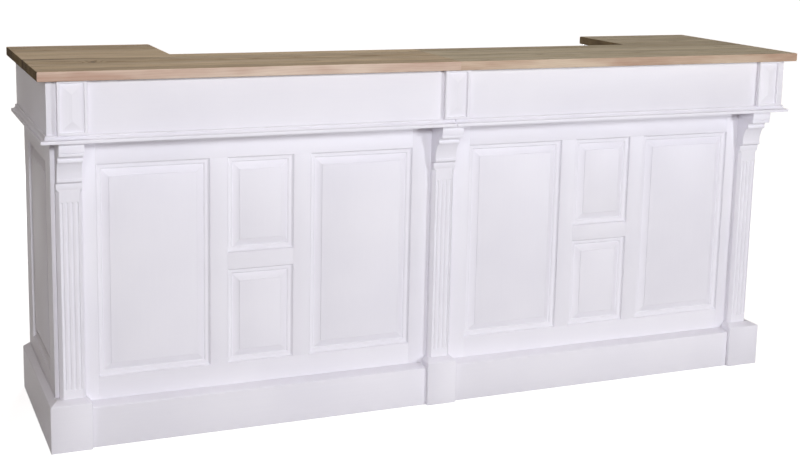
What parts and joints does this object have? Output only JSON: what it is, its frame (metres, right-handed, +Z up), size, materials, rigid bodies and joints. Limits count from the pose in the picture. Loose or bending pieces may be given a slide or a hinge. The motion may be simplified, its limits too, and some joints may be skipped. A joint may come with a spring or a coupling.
{
  "type": "bar counter",
  "caption": "U-shaped bar counter: panelled front and ends with fluted pilasters, corbels and a cornice, an oak worktop with a short wing at each end, and open shelves on the serving side",
  "frame": {"origin": "On the floor, in the middle of the overall length and of the overall depth of the worktop.", "axes": "+Z is up. X runs along the length of the counter, and the left end seen by a customer is at -X. The panelled front faces -Y, and the serving side with the shelves is open to +Y."},
  "size_m": [2.47, 0.672, 1.1],
  "materials": {
    "oak": "edge-glued oak staves, pale, oiled and matt",
    "white_paint": "white satin paint on wood",
    "carcass_paint": "white satin lacquer on board",
    "softwood": "bare planed softwood",
    "zinc": "zinc-plated steel"
  },
  "bodies": {
    "root": {"baseboard_end_left": "white_paint", "baseboard_end_right": "white_paint", "baseboard_front_left": "white_paint", "baseboard_front_right": "white_paint", "carcass_rails_left": "carcass_paint", "carcass_rails_right": "carcass_paint", "centre_partition_left": "carcass_paint", "centre_partition_right": "carcass_paint", "corbel_centre": "white_paint", "corbel_left": "white_paint", "corbel_right": "white_paint", "cornice_moulding_left": "white_paint", "cornice_moulding_right": "white_paint", "deck_left": "carcass_paint", "deck_right": "carcass_paint", "end_frame_left": "white_paint", "end_frame_right": "white_paint", "end_panel_left": "white_paint", "end_panel_right": "white_paint", "frieze_block_centre": "white_paint", "frieze_block_left": "white_paint", "frieze_block_right": "white_paint", "frieze_end_board_left": "white_paint", "frieze_end_board_right": "white_paint", "frieze_front_board_left": "white_paint", "frieze_front_board_right": "white_paint", "front_frame_rails_left": "white_paint", "front_frame_rails_right": "white_paint", "front_frame_uprights_left": "white_paint", "front_frame_uprights_right": "white_paint", "joining_bolts": "zinc", "large_panel_inner_left": "white_paint", "large_panel_inner_right": "white_paint", "large_panel_outer_left": "white_paint", "large_panel_outer_right": "white_paint", "panel_mouldings_left": "white_paint", "panel_mouldings_right": "white_paint", "pilaster_centre": "white_paint", "pilaster_left": "white_paint", "pilaster_right": "white_paint", "plinth_block_centre": "white_paint", "plinth_block_left": "white_paint", "plinth_block_right": "white_paint", "shelf_cleats_left": "carcass_paint", "shelf_cleats_right": "carcass_paint", "shelf_lower_left": "carcass_paint", "shelf_lower_right": "carcass_paint", "shelf_upper_left": "carcass_paint", "shelf_upper_right": "carcass_paint", "small_panels_left": "white_paint", "small_panels_right": "white_paint", "soffit_board_left": "white_paint", "soffit_board_right": "white_paint", "wing_side_panel_left": "carcass_paint", "wing_side_panel_right": "carcass_paint", "worktop_front_board_left": "oak", "worktop_front_board_right": "oak", "worktop_glue_blocks": "softwood", "worktop_wing_board_left": "oak", "worktop_wing_board_right": "oak"}
  },
  "joints": []
}
